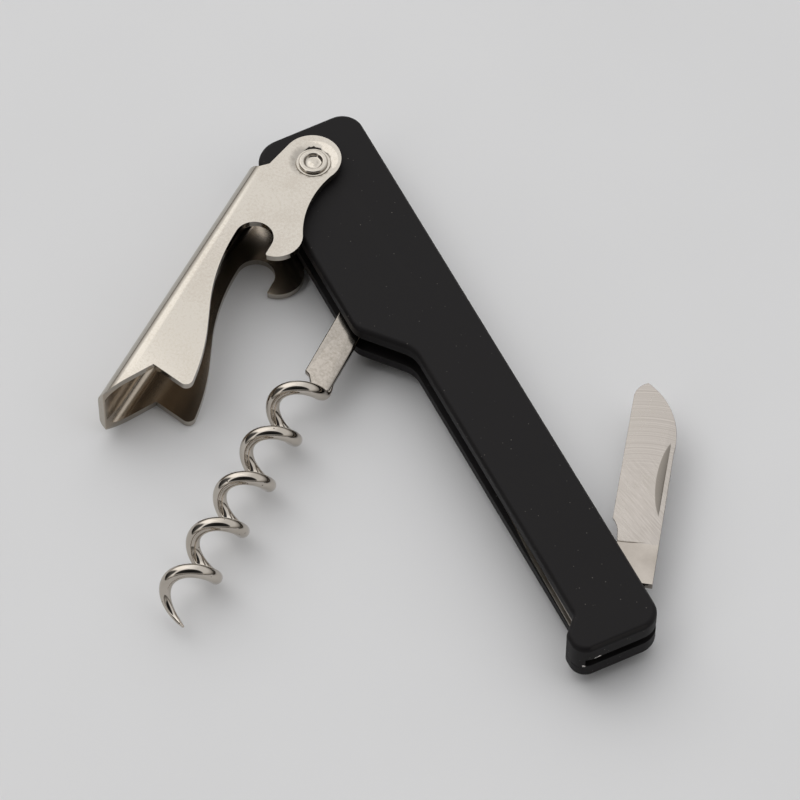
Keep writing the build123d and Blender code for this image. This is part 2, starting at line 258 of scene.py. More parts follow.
lever_nickel = nickel_plate(
    "nickel_plated_pressed_steel", "#b9b3aa", "#b0a99f", 0.07, 0.04, channel=True
)
rivet_nickel = nickel_plate("nickel_plated_rivet_steel", "#bdb7ae", "#b2aba1", 0.06, 0.04)
tang_nickel = nickel_plate("nickel_plated_hammered_wire", "#99938c", "#88827a", 0.13, 0.12)

# %% [markdown]
# ## Nickel plate on drawn wire
# The worm is drawn wire, so its surface is smoother than the sheet's and its reflections are
# sharper. Plating over wire traps grit: it shows as dark pinholes about 0.2 mm wide. Those
# come from a Voronoi pattern, where only the middles of some of the cells are dark.

# %% Plated wire
pinhole_cell = 0.9
pinhole_reach = 0.13
pinhole_share = 0.2


def plated_wire():
    """Bright warm metal with dark pinholes: the middles of a fifth of the 0.9 mm cells."""
    material, tree, surface, place = new_material("nickel_plated_drawn_wire")
    cells = put(tree, "TexVoronoi", Vector=place, Scale=per_metre(pinhole_cell))
    from_middle = cells.outputs["Distance"]
    hole = put(tree, "Math", less_than, in_0=from_middle, in_1=pinhole_reach).outputs[0]
    draw = put(tree, "SeparateColor", Color=cells.outputs["Color"]).outputs["Red"]
    few = put(tree, "Math", more_than, in_0=draw, in_1=1 - pinhole_share).outputs[0]
    pit = put(tree, "Math", times, in_0=hole, in_1=few).outputs[0]
    clouds = put(tree, "TexNoise", Vector=place, Scale=per_metre(5), Detail=3.0).outputs["Fac"]
    tones = [(0.35, linear("#b6aea4")), (0.65, linear("#c4bdb4"))]
    metal = put(tree, "ValToRGB", stops=tones, Fac=clouds).outputs["Color"]
    pitted = put(tree, "Mix", of_colours, Factor=pit, in_6=metal, in_7=linear("#3a322b"))
    gloss = put(
        tree, "MapRange", Value=clouds, From_Min=0.3, From_Max=0.7, To_Min=0.04, To_Max=0.09
    ).outputs["Result"]
    ripple = put(tree, "Bump", Strength=0.3, Distance=0.04 * mm, Height=clouds).outputs["Normal"]
    feed(
        tree, surface, Base_Color=pitted.outputs[2], Roughness=gloss, Metallic=1.0, Normal=ripple
    )
    return material


wire_nickel = plated_wire()

# %% [markdown]
# ## Ground stainless steel
# The blade is stamped from stainless sheet and its sides are ground on a belt. Every grit
# leaves a line: near the hinge the lines are straight and slant across the blade, and towards
# the point they swing round in arcs. Light spreads across the lines and hardly along them.
# The straight ones are a noise squeezed hard along one axis, and the arcs are a noise of the
# distance from one middle. Both are drawn 0.2 to 0.3 mm apart, coarser than real grit, because
# finer ones would average away in a picture. The nick for a fingernail is milled, and painted
# shade darkens its hollow; a line of painted shade marks the step where grinding stops short of
# the plain tang.


# %% Lines of a belt or of a rolling mill
line_stretch = 25


def ground_lines(tree, place, line_angle, line_width):
    """Straight lines: a noise stretched 25 times along an angle from the handle, in degrees."""
    turned = put(
        tree, "Mapping", Vector=place, Rotation=(0, 0, radians(-line_angle))
    ).outputs["Vector"]
    drawn = put(tree, "Mapping", Vector=turned, Scale=(1 / line_stretch, 1, 1)).outputs["Vector"]
    return put(
        tree, "TexNoise", Vector=drawn, Scale=per_metre(line_width), Detail=6.0, Roughness=0.7
    ).outputs["Fac"]


# %% Places on the blade, in millimetres from the knife's hinge
knife_turn = radians(144.6)
towards_point = Vector((cos(knife_turn), sin(knife_turn), 0))
towards_edge = Vector((-sin(knife_turn), cos(knife_turn), 0))
half_thick = 0.65
half_edge = 0.12
bevel_from, bevel_to = -4.6, 1.96
nick_sunk = (0.015, 0.06)
nick_by_spine = (-5.5, -5.4)
nick_by_edge = (-3.4, -3.6)
nick_above = (0.08, 0.14)
stop_at = 8.72
stop_half = 0.1
stop_bow = 0.03
stop_fade = (-4.2, -2.4)
ground_from = (8.75, 9.0)
arcs_from = (20, 29)
wheel_ahead, wheel_back = 12, 2


def where(tree, *rules):
    """1 where every length has got from its first limit to its second, in millimetres.

    Each rule is a length and its limits. Between the limits it rises from 0 to 1, eased at both
    ends, and the mask is the product of all the rises.
    """
    mask = None
    for length, (start, end) in rules:
        rise = put(
            tree, "MapRange", eased, Value=length, From_Min=start * mm, From_Max=end * mm
        ).outputs["Result"]
        mask = put(tree, "Math", times, in_0=mask, in_1=rise).outputs[0] if mask else rise
    return mask


def blade_places(tree, place):
    """Three lengths from the knife's hinge: ahead to the point, aside to the edge, and up."""
    hinge = hinges["knife_hinge"]
    from_hinge = put(tree, "VectorMath", minus, in_0=place, in_1=hinge).outputs[0]
    ahead = put(tree, "VectorMath", dot, in_0=from_hinge, in_1=towards_point).outputs["Value"]
    aside = put(tree, "VectorMath", dot, in_0=from_hinge, in_1=towards_edge).outputs["Value"]
    raised = put(tree, "SeparateXYZ", Vector=from_hinge).outputs["Z"]
    return ahead, aside, raised


def nick_painted_shade(tree, aside, raised):
    """1 in the nail nick, where its shade is painted: below the ground face, in a strip along the
    spine, on the upper side.

    The ground face is level at half the blade's thickness near the spine. From there it falls
    evenly to half the edge's thickness, so its height is the lower of a level and a slope.
    """
    fall = (half_thick - half_edge) / (bevel_to - bevel_from)
    at_hinge = (half_thick + bevel_from * fall) * mm
    slope = put(tree, "Math", times_plus, in_0=aside, in_1=-fall, in_2=at_hinge).outputs[0]
    face = put(tree, "Math", {"operation": "MINIMUM"}, in_0=slope, in_1=half_thick * mm).outputs[0]
    sunk = put(tree, "Math", minus, in_0=face, in_1=raised).outputs[0]
    strip = ((aside, nick_by_spine), (aside, nick_by_edge))
    return where(tree, (sunk, nick_sunk), *strip, (raised, nick_above))


def step_painted_shade(tree, ahead, aside):
    """1 on the line of painted shade at the step where grinding stops, which fades out towards the
    spine.

    It lies where ahead less 0.03 times the square of aside comes within 0.1 of 8.72.
    """
    squared = put(tree, "Math", times, in_0=aside, in_1=aside).outputs[0]
    straight = put(
        tree, "Math", times_plus, in_0=squared, in_1=-stop_bow / mm, in_2=ahead
    ).outputs[0]
    near = {"operation": "COMPARE"}
    line = put(
        tree, "Math", near, in_0=straight, in_1=stop_at * mm, in_2=stop_half * mm
    ).outputs[0]
    fading = where(tree, (aside, stop_fade))
    return put(tree, "Math", times, in_0=line, in_1=fading).outputs[0]


# %% Ground blade
def ground_blade():
    """Satin blade: slanting lines near the hinge, arcs towards the point, and an unground tang."""
    material, tree, surface, place = new_material("belt_ground_stainless_steel")
    ahead, aside, raised = blade_places(tree, place)
    slanting = ground_lines(tree, place, 8, 0.2)
    wheel_offset = towards_point * wheel_ahead - towards_edge * wheel_back
    wheel_middle = hinges["knife_hinge"] + wheel_offset * mm
    from_wheel = put(tree, "VectorMath", distance, in_0=place, in_1=wheel_middle).outputs["Value"]
    one_way = {"noise_dimensions": "1D"}
    arcs = put(
        tree, "TexNoise", one_way, W=from_wheel, Scale=per_metre(0.3), Detail=5.0, Roughness=0.75
    ).outputs["Fac"]
    swing = where(tree, (ahead, arcs_from))
    lines = put(tree, "Mix", of_numbers, Factor=swing, in_2=slanting, in_3=arcs).outputs[0]
    clouds = put(tree, "TexNoise", Vector=place, Scale=per_metre(5), Detail=4.0).outputs["Fac"]

    ground_tones = [(0.3, linear("#99938c")), (0.5, linear("#a49e98")), (0.7, linear("#aea8a2"))]
    ground = put(tree, "ValToRGB", stops=ground_tones, Fac=lines).outputs["Color"]
    plain_tones = [(0.35, linear("#99928a")), (0.65, linear("#a9a29a"))]
    plain = put(tree, "ValToRGB", stops=plain_tones, Fac=clouds).outputs["Color"]
    on_blade = where(tree, (ahead, ground_from))
    colour = put(tree, "Mix", of_colours, Factor=on_blade, in_6=plain, in_7=ground).outputs[2]
    # Painted shade: the nick's hollow and the edge of the grinding step are coloured darker, as
    # where shade falls.
    marks = (
        (nick_painted_shade(tree, aside, raised), "#7f7972"),
        (step_painted_shade(tree, ahead, aside), "#5f5850"),
    )
    for mask, painted_shade_tone in marks:
        colour = put(
            tree, "Mix", of_colours, Factor=mask, in_6=colour, in_7=linear(painted_shade_tone)
        ).outputs[2]

    satin = put(
        tree, "MapRange", Value=clouds, From_Min=0.3, From_Max=0.7, To_Min=0.3, To_Max=0.22
    ).outputs["Result"]
    bright = put(
        tree, "MapRange", Value=clouds, From_Min=0.3, From_Max=0.7, To_Min=0.17, To_Max=0.12
    ).outputs["Result"]
    gloss = put(tree, "Mix", of_numbers, Factor=on_blade, in_2=bright, in_3=satin).outputs[0]
    scored = put(tree, "Bump", Strength=0.08, Distance=0.01 * mm, Height=lines).outputs["Normal"]
    feed(tree, surface, Base_Color=colour, Roughness=gloss, Metallic=1.0, Normal=scored)
    return material


blade_steel = ground_blade()

# %% [markdown]
# ## Rolled steel strip
# Liners, spring, pins and washers are never polished. Cold-rolled strip is a duller grey than
# the plated pieces, and the mill leaves faint lines along it, which are the same stretched
# noise again with wider spacing.


# %% Rolled strip
def rolled_strip():
    """Plain cold-rolled steel: a duller grey with faint lines along the handle."""
    material, tree, surface, place = new_material("cold_rolled_steel_strip")
    lines = ground_lines(tree, place, 0, 0.35)
    clouds = put(tree, "TexNoise", Vector=place, Scale=per_metre(6), Detail=3.0).outputs["Fac"]
    tones = [(0.3, linear("#8d857b")), (0.7, linear("#b4ada3"))]
    colour = put(tree, "ValToRGB", stops=tones, Fac=lines).outputs["Color"]
    gloss = put(
        tree, "MapRange", Value=clouds, From_Min=0.3, From_Max=0.7, To_Min=0.42, To_Max=0.32
    ).outputs["Result"]
    scored = put(tree, "Bump", Strength=0.2, Distance=0.02 * mm, Height=lines).outputs["Normal"]
    feed(tree, surface, Base_Color=colour, Roughness=gloss, Metallic=1.0, Normal=scored)
    return material


liner_steel = rolled_strip()

# %% [markdown]
# ## Moulded black ABS
# The handle halves are moulded in black ABS from a spark-eroded mould, which gives an even,
# very fine tooth: nearly black face on, with a soft grey sheen along rounded edges. Pocket wear
# polishes the edges and leaves pale dust in the tooth. The grain is noise 0.25 mm wide used
# as bump, the dust is the middles of a few small cells, and the wear follows the sharpness of
# the edge, which the Geometry node calls pointiness. Where the foot has been knocked, three
# ragged chips on the lip of the slot show pale, stressed plastic.

# %% Black ABS, sizes in millimetres
tooth_size = 0.25
dust_cell = 0.8
chip_raggedness = 0.9
chips = [
    (Vector((106.4, -0.25, 0.85)) * mm, 0.36 * mm),
    (Vector((106.4, -0.8, 0.82)) * mm, 0.3 * mm),
    (Vector((105.98, -2.7, -0.85)) * mm, 0.24 * mm),
]


def dusted(tree, place):
    """Up to 0.45 on specks of dust: the middles of those Voronoi cells that draw over 0.8."""
    cells = put(tree, "TexVoronoi", Vector=place, Scale=per_metre(dust_cell))
    from_middle = cells.outputs["Distance"]
    speck = put(
        tree, "MapRange", Value=from_middle, From_Min=0.05, From_Max=0.14, To_Min=1.0, To_Max=0.0
    ).outputs["Result"]
    draw = put(tree, "SeparateColor", Color=cells.outputs["Color"]).outputs["Red"]
    few = put(
        tree, "MapRange", Value=draw, From_Min=0.8, From_Max=1.0, To_Min=0.0, To_Max=0.45
    ).outputs["Result"]
    return put(tree, "Math", times, in_0=speck, in_1=few).outputs[0]


def chipped(tree, place, tooth, chip_place, chip_size):
    """1 inside a chip: its distance from the chip's middle, made ragged by the tooth."""
    middle = hinges["lever_hinge"] + chip_place
    away = put(tree, "VectorMath", distance, in_0=place, in_1=middle).outputs["Value"]
    ragged = put(
        tree, "Math", times_plus, in_0=tooth, in_1=chip_raggedness * mm, in_2=away
    ).outputs[0]
    chip_edge = chip_size + chip_raggedness / 2 * mm
    return put(tree, "Math", less_than, in_0=ragged, in_1=chip_edge).outputs[0]


def moulded_black():
    """Near-black plastic with a fine tooth, paler worn edges, specks of dust and three chips."""
    material, tree, surface, place = new_material("moulded_black_abs")
    tooth = put(
        tree, "TexNoise", Vector=place, Scale=per_metre(tooth_size), Detail=4.0, Roughness=0.7
    ).outputs["Fac"]
    clouds = put(tree, "TexNoise", Vector=place, Scale=per_metre(14), Detail=3.0).outputs["Fac"]
    tones = [(0.3, linear("#171516")), (0.7, linear("#1d1b1c"))]
    colour = put(tree, "ValToRGB", stops=tones, Fac=clouds).outputs["Color"]
    sharp = put(tree, "NewGeometry").outputs["Pointiness"]
    worn = put(
        tree, "MapRange", Value=sharp, From_Min=0.53, From_Max=0.62, To_Min=0.0, To_Max=0.25
    ).outputs["Result"]
    layers = [(worn, "#3f3c3a"), (dusted(tree, place), "#a8a29a")]
    layers += [(chipped(tree, place, tooth, *chip), "#d9d6d2") for chip in chips]
    for mask, layer_tone in layers:
        colour = put(
            tree, "Mix", of_colours, Factor=mask, in_6=colour, in_7=linear(layer_tone)
        ).outputs[2]
    gloss = put(
        tree, "MapRange", Value=clouds, From_Min=0.3, From_Max=0.7, To_Min=0.5, To_Max=0.6
    ).outputs["Result"]
    grain = put(tree, "Bump", Strength=0.2, Distance=0.03 * mm, Height=tooth).outputs["Normal"]
    feed(tree, surface, Base_Color=colour, Roughness=gloss, Normal=grain)
    feed(tree, surface, IOR=1.53, Specular_IOR_Level=0.13)
    return material


handle_black = moulded_black()

# %% [markdown]
# ## Two ways to a mesh
# Flat, stamped and moulded pieces already have their exact outline in the CAD node. What it
# lacks is the tiny radius that tumbling and tool wear give every edge, and that radius is what
# catches the light. So such a piece is a copy of its node: the loose triangles are merged, flat
# areas become single faces, and a Bevel modifier rounds the edges. Its overlap guard is left
# on, which keeps every face whole, but narrows the radius all round a piece to what the two
# closest corners on it leave room for. Turned and drawn pieces are better worked out afresh as
# a grid of points, a ring at a time, with numpy.

# %% Rounded copy of a node
merge_within = 0.002
flat_within = 0.4


def rounded_copy(node, edge_radius, steps, sharper_than=28):
    """A merged copy of a CAD node whose edges sharper than an angle in degrees are rounded."""
    piece = frame["nodes"][node].copy()
    piece.data = frame["nodes"][node].data.copy()
    for key in list(piece.keys()):
        del piece[key]
    piece.name = node + "_finished"
    piece.data.name = piece.name
    piece.parent = None
    piece.matrix_world = Matrix.Identity(4)
    bpy.context.scene.collection.objects.link(piece)
    shape = bmesh.new()
    shape.from_mesh(piece.data)
    bmesh.ops.remove_doubles(shape, verts=shape.verts, dist=merge_within * mm)
    bmesh.ops.dissolve_limit(
        shape, angle_limit=radians(flat_within), verts=shape.verts, edges=shape.edges
    )
    for face in shape.faces:
        face.smooth = True
    for edge in shape.edges:
        edge.smooth = edge.calc_face_angle(0.0) < radians(sharper_than)
    shape.to_mesh(piece.data)
    shape.free()
    bevel = piece.modifiers.new("edge radius", "BEVEL")
    bevel.width = edge_radius * mm
    bevel.segments = steps
    bevel.limit_method = "ANGLE"
    bevel.angle_limit = radians(sharper_than)
    bevel.harden_normals = True
    bevel.use_clamp_overlap = True
    weighted = piece.modifiers.new("flat faces lead", "WEIGHTED_NORMAL")
    weighted.keep_sharp = False
    return piece


def settle(piece, node, material):
    """Gives a piece its only material, ties it to the body of the node it stands for, and hides
    that node.
    """
    piece.data.materials.clear()
    piece.data.materials.append(material)
    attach(piece, frame["nodes"][node]["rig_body"])
    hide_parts(node)
    print(piece.name, "vertices:", len(piece.data.vertices))


# %% A surface from a grid of points
def ring_surface(name, rings, closed_ends=True):
    """Joins rings of points (rings, points round, xyz) with quads.

    Point j of ring i, its follower round the ring, and the same two on the next ring are the
    corners of one quad. A closed end is a fan from its ring to the ring's middle.
    """
    count, around = rings.shape[:2]
    corner = np.arange(count * around).reshape(count, around)
    following = np.roll(corner, -1, axis=1)
    quads = np.stack([corner[:-1], following[:-1], following[1:], corner[1:]], axis=-1)
    points = rings.reshape(-1, 3)
    faces = quads.reshape(-1, 4).tolist()
    if closed_ends:
        middles = np.stack([rings[0].mean(0), rings[-1].mean(0)])
        first, last = count * around, count * around + 1
        start_fan = np.stack([following[0], corner[0], np.full(around, first)], axis=-1)
        end_fan = np.stack([corner[-1], following[-1], np.full(around, last)], axis=-1)
        faces += start_fan.tolist() + end_fan.tolist()
        points = np.concatenate([points, middles])
    mesh = bpy.data.meshes.new(name)
    mesh.from_pydata(points.tolist(), [], faces)
    mesh.polygons.foreach_set("use_smooth", np.ones(len(faces), bool))
    mesh.update()
    piece = bpy.data.objects.new(name, mesh)
    bpy.context.scene.collection.objects.link(piece)
    return piece


def face_outwards(piece):
    """Turns every face of a closed piece outwards."""
    shape = bmesh.new()
    shape.from_mesh(piece.data)
    bmesh.ops.recalc_face_normals(shape, faces=shape.faces)
    shape.to_mesh(piece.data)
    shape.free()


# %% [markdown]
# ## The handle's two halves
# Each half is a moulding with a radius along its outer edge already in the CAD. The short
# edges at the slot are still knife sharp there, so a tenth of a millimetre is asked for. The
# overlap guard leaves the upper half about that, and the lower half about a fiftieth of a
# millimetre.

# %% Handle halves
for half in ("scale_top", "scale_bottom"):
    settle(rounded_copy(half, edge_radius=0.12, steps=2), half, handle_black)

# %% [markdown]
# ## The lever
# One blank of 1.2 mm sheet is stamped and folded round its spine. Stamping rolls the edge on
# one side, and tumbling before plating rounds both, so four tenths of a millimetre is asked
# for. Some points of the outline are so close together that the overlap guard leaves only
# about a thousandth of a millimetre, and the edges look sharp. Without the guard the radius is
# whole, but the ear's one large face breaks, so the guard stays on.

# %% Lever
settle(rounded_copy("lever", edge_radius=0.42, steps=4), "lever", lever_nickel)

# %% [markdown]
# ## The knife
# The blade keeps crisp edges. Only a few hundredths of a millimetre come off them.

# %% Knife
settle(rounded_copy("knife", edge_radius=0.07, steps=2), "knife", blade_steel)

# %% [markdown]
# ## The rivet
# A tubular rivet is set by a punch that rolls its rim outwards and leaves a cup in the middle.
# It is a profile turned about the hinge, drawn here from the middle of one cup to the middle
# of the other. The punch doesn't leave a true circle, so the cup's wall wanders a little.

# %% Rivet dimensions, in millimetres
rivet_low, rivet_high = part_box("lever_rivet")
rivet_half = (rivet_high.z - rivet_low.z) / 2 / mm
rim_radius = (rivet_high.x - rivet_low.x) / 2 / mm
cup_radius = 1.5
shank_radius = 1.7
roll_radius = 0.31
lip_radius = 0.3
cup_floor = rivet_half - 0.62
cup_points = [(0.3, 0.16), (0.7, 0.1), (1.1, 0.0), (1.35, 0.05)]
wander_depth = 0.03
wander_lobes = 5
wander_turn = 0.6
rivet_sides = 96


# %% Rivet
def rivet_profile():
    """Radius and height of the upper half, from the cup's middle over the rolled rim.

    The lip is a quarter circle and the rolled rim a half circle: middle plus radius times the
    sine for the distance out, and plus radius times the cosine for the height.
    """
    roll_turn = np.linspace(0, pi, 15)
    roll_middle = (rim_radius - roll_radius, rivet_half - roll_radius)
    roll = np.stack([np.sin(roll_turn), np.cos(roll_turn)], axis=-1) * roll_radius + roll_middle
    lip_turn = np.linspace(pi / 2, 0, 9)
    lip_middle = (cup_radius + lip_radius, rivet_half - lip_radius)
    lip = np.stack([-np.sin(lip_turn), np.cos(lip_turn)], axis=-1) * lip_radius + lip_middle
    cup = np.array(cup_points) + (0, cup_floor)
    shank = np.array([(shank_radius, rivet_half - 2 * roll_radius), (shank_radius, 0.0)])
    return np.concatenate([cup, lip, roll, shank])


upper = rivet_profile()
lower = upper[-2::-1] * np.array([1, -1])
profile = np.concatenate([upper, lower])
out, height = profile[:, :1], profile[:, 1:]
angles = np.linspace(0, 2 * pi, rivet_sides, endpoint=False)

# The wander is whole inside the cup and fades over its lip.
in_cup = np.clip((cup_radius + 0.15 - out) / 0.3, 0, 1) * (np.abs(height) < rivet_half - 0.02)
wander = 1 + wander_depth * in_cup * np.cos(wander_lobes * angles + wander_turn)
swung = out * wander
rivet_rings = np.stack(
    [swung * np.cos(angles), swung * np.sin(angles), np.repeat(height, rivet_sides, axis=1)],
    axis=-1,
)
rivet_middle = np.array(hinges["lever_hinge"])
rivet = ring_surface("lever_rivet_finished", rivet_rings * mm + rivet_middle)
face_outwards(rivet)
settle(rivet, "lever_rivet", rivet_nickel)

# %% [markdown]
# ## The worm's wire
# The worm is a right-handed coil of round wire that is drawn to a point. A curve object with a
# bevel would do for the coil, but it can't flatten the wire where it grows out of its tang, nor
# draw the point forwards. So the wire's middle line is a formula: it runs round a circle while
# it moves along the axis, and a ring of points is carried along it. The ring is turned by the
# line's own direction and always keeps one diameter upright, which stays steady because the
# line never runs straight up.

# %% Worm dimensions, in millimetres and degrees
worm_angle = radians(-50.9)
along = np.array([cos(worm_angle), sin(worm_angle), 0.0])
across = np.array([-sin(worm_angle), cos(worm_angle), 0.0])
upright = np.array([0.0, 0.0, 1.0])
worm_hinge = np.array(hinges["worm_hinge"])
wire_radius = 1.15
coil_radius = 3.2
coil_pitch = 9.9
coil_offset = -1.7
coil_zero = 28.6
first_turn = -345
taper_from = 1215
last_turn = 1388
turn_step = 4.0
point_radius = 0.2
point_forward = 0.8
neck_from = (15.6, 1.25, 0.0)
neck_bend = (18.1, 1.85, -0.15)
neck_half_high = 0.4
neck_half_wide = 1.2
wire_sides = 40


# %% Middle line of the coil
def worm_point(along_mm, across_mm, up_mm):
    """A point from three lengths in millimetres, measured from the worm's hinge."""
    local = np.multiply.outer(along_mm, along) + np.multiply.outer(across_mm, across)
    return worm_hinge + (local + np.multiply.outer(up_mm, upright)) * mm


# Along goes one pitch a turn; across and up are the cosine and sine of the turn.
turn = np.arange(first_turn, last_turn + 1, turn_step)
drawn = np.clip((turn - taper_from) / (last_turn - taper_from), 0, 1)
coil_line = worm_point(
    coil_zero + coil_pitch * turn / 360 + point_forward * drawn**1.5,
    coil_offset + coil_radius * np.cos(np.radians(turn)),
    coil_radius * np.sin(np.radians(turn)),
)
coil_thick = wire_radius + (point_radius - wire_radius) * drawn**1.45
print("coil rings:", len(coil_line))

# %% Middle line of the neck
# A Bezier curve of four points bends smoothly from inside the tang to the start of the coil.
neck_share = np.linspace(0, 1, 18)[:-1]
neck_end = coil_line[0]
neck_aim = neck_end - (coil_line[1] - coil_line[0]) * 8
neck_line = (
    np.multiply.outer((1 - neck_share) ** 3, worm_point(*neck_from))
    + np.multiply.outer(3 * neck_share * (1 - neck_share) ** 2, worm_point(*neck_bend))
    + np.multiply.outer(3 * neck_share**2 * (1 - neck_share), neck_aim)
    + np.multiply.outer(neck_share**3, neck_end)
)
neck_swell = neck_share**0.8
neck_high = neck_half_high + (wire_radius - neck_half_high) * neck_swell
neck_wide = neck_half_wide + (wire_radius - neck_half_wide) * neck_swell
print("neck rings:", len(neck_line))

# %% Worm wire
# The point ends in a tiny dome of four rings.
dome = np.radians([20, 40, 60, 80])
dome_step = (coil_line[-1] - coil_line[-2]) / np.linalg.norm(coil_line[-1] - coil_line[-2])
dome_line = coil_line[-1] + np.multiply.outer(point_radius * np.sin(dome) * mm, dome_step)
dome_thick = point_radius * np.cos(dome)

# Each ring is an ellipse round the line: sine times the half height, cosine times the half width.
wire_line = np.concatenate([neck_line, coil_line, dome_line])
half_high = np.concatenate([neck_high, coil_thick, dome_thick]) * mm
half_wide = np.concatenate([neck_wide, coil_thick, dome_thick]) * mm
heading = np.gradient(wire_line, axis=0)
heading /= np.linalg.norm(heading, axis=1)[:, None]
heading[-len(dome) :] = dome_step
top = upright - heading * (heading @ upright)[:, None]
top /= np.linalg.norm(top, axis=1)[:, None]
side = np.cross(heading, top)
around = np.linspace(0, 2 * pi, wire_sides, endpoint=False)
wire_rings = (
    wire_line[:, None, :]
    + (half_high[:, None] * np.sin(around))[..., None] * top[:, None, :]
    + (half_wide[:, None] * np.cos(around))[..., None] * side[:, None, :]
)
wire = ring_surface("worm_wire", wire_rings)
face_outwards(wire)
settle(wire, "worm", wire_nickel)

# %% [markdown]
# ## The worm's tang
# The end of the wire is hammered flat and trimmed to a plate with an eye. The plate's outline
# is a closed line, and its rounded edge is a half-moon carried round that line. Every point of
# the outline looks straight at the eye, so the flat sides can be filled by joining each outline
# point to the point of the eye's rim that lies in the same direction.

# %% Outline of the tang, in millimetres from the worm's hinge
tang_half = 0.6
tang_edge = 0.34
eye_radius = 1.31
tang_near = 2.55
tang_far = -2.85
tang_points = 240
tang_sharp = 40
tang_corners = np.array(
    [
        (0.0, tang_far),
        (15.8, tang_far),
        (16.2, -1.92),
        (17.5, -1.04),
        (18.4, -0.3),
        (18.6, 1.6),
        (17.9, tang_near),
        (0.0, tang_near),
    ]
)
round_end = np.radians(np.linspace(90, 270, 28)[1:-1])
end_middle = (tang_near + tang_far) / 2
end_radius = (tang_near - tang_far) / 2
end_arc = np.stack(
    [end_radius * np.cos(round_end), end_middle + end_radius * np.sin(round_end)], axis=-1
)
outline = np.concatenate([tang_corners, end_arc, tang_corners[:1]])
lengths = np.concatenate([[0], np.cumsum(np.linalg.norm(np.diff(outline, axis=0), axis=1))])
print("tang outline in mm:", round(float(lengths[-1]), 2))

# %% Tang
# Points at even steps along the outline are averaged with their neighbours, which softens the
# corners. The edge moves out and down by the sine and cosine of a quarter turn, and back again.
stations = np.linspace(0, lengths[-1], tang_points, endpoint=False)
edge_line = np.stack([np.interp(stations, lengths, outline[:, axis]) for axis in (0, 1)], axis=-1)
softened = (np.roll(edge_line, 1, axis=0) + 2 * edge_line + np.roll(edge_line, -1, axis=0)) / 4
run = np.roll(softened, -1, axis=0) - np.roll(softened, 1, axis=0)
run /= np.linalg.norm(run, axis=1)[:, None]
inwards = np.stack([-run[:, 1], run[:, 0]], axis=-1)
bearing = np.arctan2(softened[:, 1], softened[:, 0])
eye_rim = eye_radius * np.stack([np.cos(bearing), np.sin(bearing)], axis=-1)
bend = np.linspace(0, pi / 2, 6)
inset = tang_edge * (1 - np.sin(bend))
rise = tang_half - tang_edge + tang_edge * np.cos(bend)
down_side = [(softened + inwards * value, level) for value, level in zip(inset, rise)]
up_side = [(line, -level) for line, level in down_side[::-1]]
eye_wall = [(eye_rim, -tang_half), (eye_rim, tang_half)]
loops = [(eye_rim, tang_half)] + down_side + up_side + eye_wall
tang_rings = np.stack(
    [worm_point(line[:, 0], line[:, 1], np.full(len(line), level)) for line, level in loops]
)
tang = ring_surface("worm_tang", tang_rings, closed_ends=False)
merge = bmesh.new()
merge.from_mesh(tang.data)
bmesh.ops.remove_doubles(merge, verts=merge.verts, dist=0.001 * mm)
bmesh.ops.recalc_face_normals(merge, faces=merge.faces)
for edge in merge.edges:
    edge.smooth = edge.calc_face_angle(0.0) < radians(tang_sharp)
merge.to_mesh(tang.data)
merge.free()
settle(tang, "worm", tang_nickel)

# %% [markdown]
# ## The pieces that stay as they are
# Liners, spring, pins, washers and the bush are plain rolled or turned steel, and only their
# edges show in the slot. Their CAD meshes are right, so they keep them and only get a finish.

# %% Carried-over nodes
replaced = {"scale_top", "scale_bottom", "lever", "knife", "lever_rivet", "worm"}
for name, node in frame["nodes"].items():
    if name not in replaced:
        node.data.materials.clear()
        node.data.materials.append(liner_steel)
print("kept as they are:", sorted(set(frame["nodes"]) - replaced))

# %% [markdown]
# ## The board
# The tool lies on a sheet of pale grey board. The board is matt and has faint clouds, so it
# stays quiet under the tool. It lies a tenth of a millimetre low, clear of the lever's face.

# %% Board, in metres
board_half = 3.0
board_drop = 0.0001
board_corners = [(-1, -1), (1, -1), (1, 1), (-1, 1)]
floor_mesh = bpy.data.meshes.new("studio_board")
floor_mesh.from_pydata(
    [(x * board_half, y * board_half, 0) for x, y in board_corners], [], [(0, 1, 2, 3)]
)
floor = bpy.data.objects.new("studio_board", floor_mesh)
bpy.context.scene.collection.objects.link(floor)
board, board_tree, board_surface, board_place = new_material("pale_grey_board")
board_cloud = put(board_tree, "TexNoise", Vector=board_place, Scale=per_metre(60), Detail=2.0)
board_tones = [(0.3, linear("#e5e5e6")), (0.7, linear("#e8e8e9"))]
board_ramp = put(board_tree, "ValToRGB", stops=board_tones, Fac=board_cloud.outputs["Fac"])
board_colour = board_ramp.outputs["Color"]
feed(board_tree, board_surface, Base_Color=board_colour, Roughness=0.9, Specular_IOR_Level=0.1)
floor.data.materials.append(board)
floor.location.z = -board_drop

# %% [markdown]
# ## The softbox
# Polished flat metal shows what is opposite the eye. So one wide softbox stands on the far
# side of the tool, where the lever's faces find it and look bright.

# %% Softbox, in metres and watts
softbox_turn, softbox_rise, softbox_reach = radians(205), radians(50), 0.7
softbox_side = 0.6
softbox_power = 0.46
softbox_place = Vector(
    (
        softbox_reach * cos(softbox_rise) * cos(softbox_turn),
        softbox_reach * cos(softbox_rise) * sin(softbox_turn),
        softbox_reach * sin(softbox_rise),
    )
)
softbox_aim = Vector((0, 0, 0))
light = bpy.data.lights.new("softbox", "AREA")
light.shape = "RECTANGLE"
light.size = softbox_side
light.size_y = softbox_side
light.energy = softbox_power
light.color = linear("#fffdf8")[:3]
softbox = bpy.data.objects.new("softbox", light)
softbox.location = softbox_place
softbox.rotation_euler = (softbox_aim - softbox_place).to_track_quat("-Z", "Y").to_euler()
bpy.context.scene.collection.objects.link(softbox)

